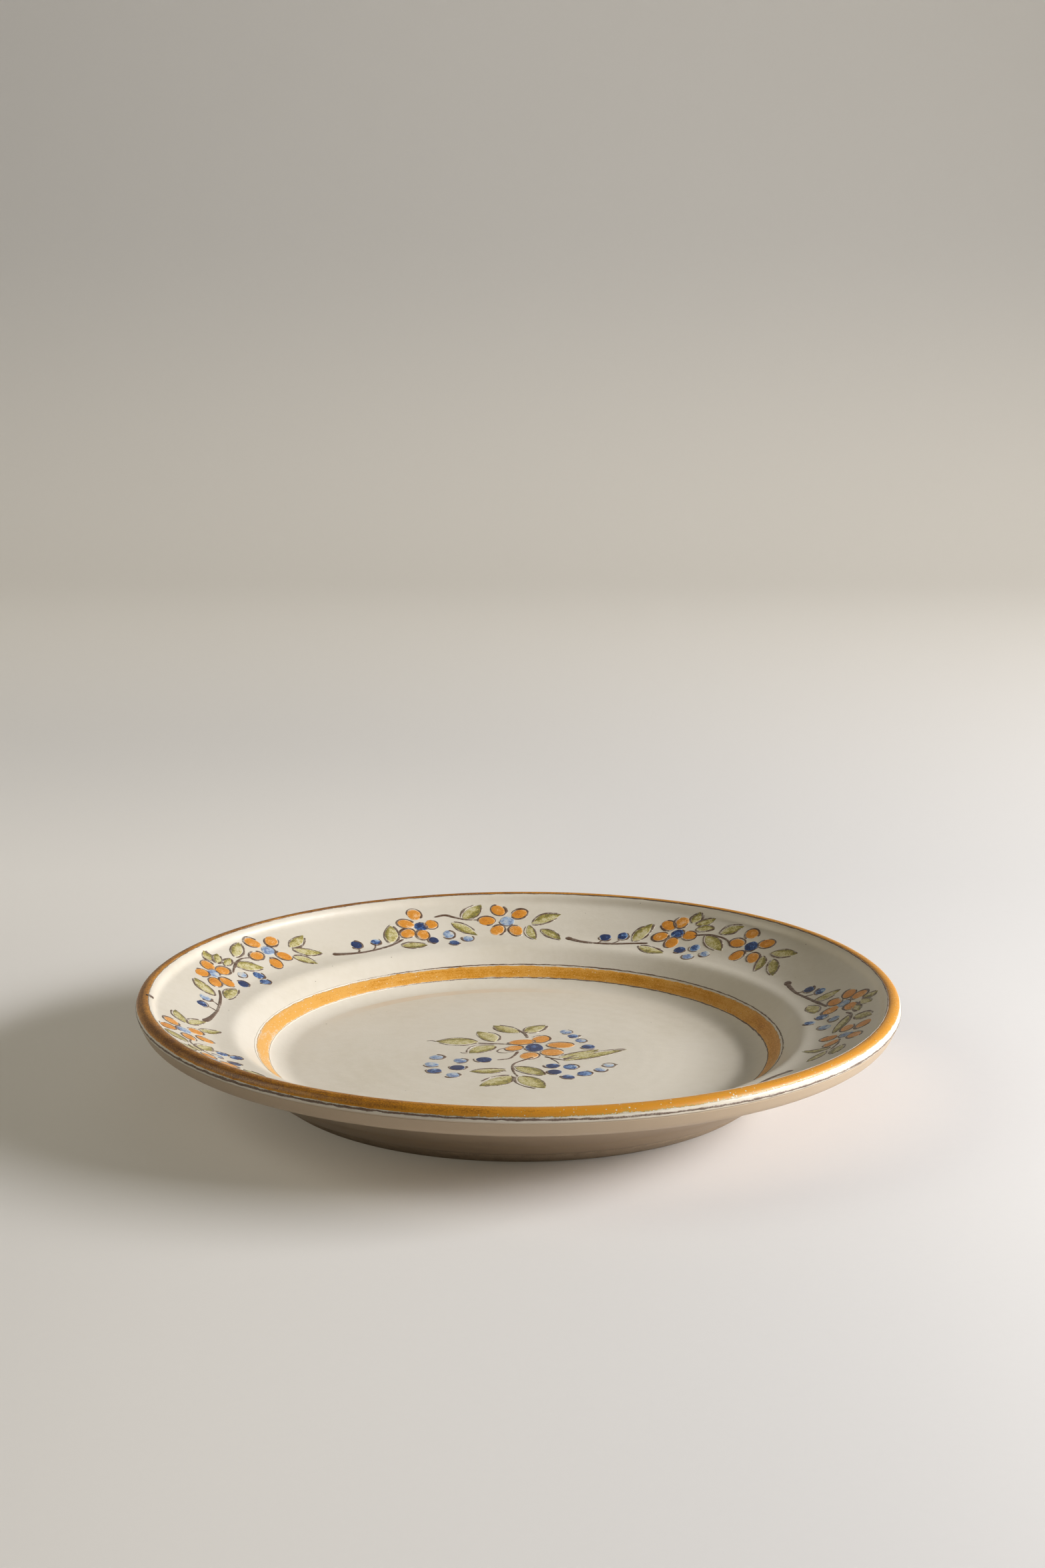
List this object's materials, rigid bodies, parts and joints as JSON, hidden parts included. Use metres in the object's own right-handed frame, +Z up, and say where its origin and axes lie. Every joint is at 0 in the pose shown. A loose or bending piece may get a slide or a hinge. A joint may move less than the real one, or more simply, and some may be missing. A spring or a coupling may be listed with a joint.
{
  "type": "hand painted ceramic plate",
  "caption": "Round ceramic dinner plate with a wide flange, rounded lip, dished well and foot ring, cream glazed and painted with ochre bands and flower sprays.",
  "frame": {"origin": "centre of the foot ring's resting plane, on the table", "axes": "+Z up along the plate's turning axis; -Y is the side seen in the main view"},
  "size_m": [0.2702, 0.2702, 0.0357],
  "materials": {
    "biscuit": "unglazed, matte",
    "cream_glaze": "glossy glaze with fine specks",
    "ochre": "glossy, brushed",
    "brown": "glossy, brushed",
    "olive": "glossy, brushed",
    "orange": "glossy, brushed",
    "pale_blue": "glossy, brushed",
    "dark_blue": "glossy, brushed"
  },
  "bodies": {
    "root": {"clay_body": "biscuit", "face_glaze": "cream_glaze", "back_glaze": "cream_glaze", "base_glaze": "cream_glaze", "rim_band": "ochre", "well_band": "ochre", "rim_line": "brown", "rim_fine_line": "brown", "well_line": "brown", "well_fine_line": "brown", "spray_stems": "brown", "bouquet_stems": "brown", "spray_leaves": "olive", "bouquet_leaves": "olive", "spray_petals": "orange", "bouquet_petals": "orange", "spray_hearts": "pale_blue", "spray_pale_berries": "pale_blue", "spray_dark_berries": "dark_blue", "bouquet_heart": "dark_blue", "bouquet_berries": "dark_blue"}
  },
  "joints": []
}
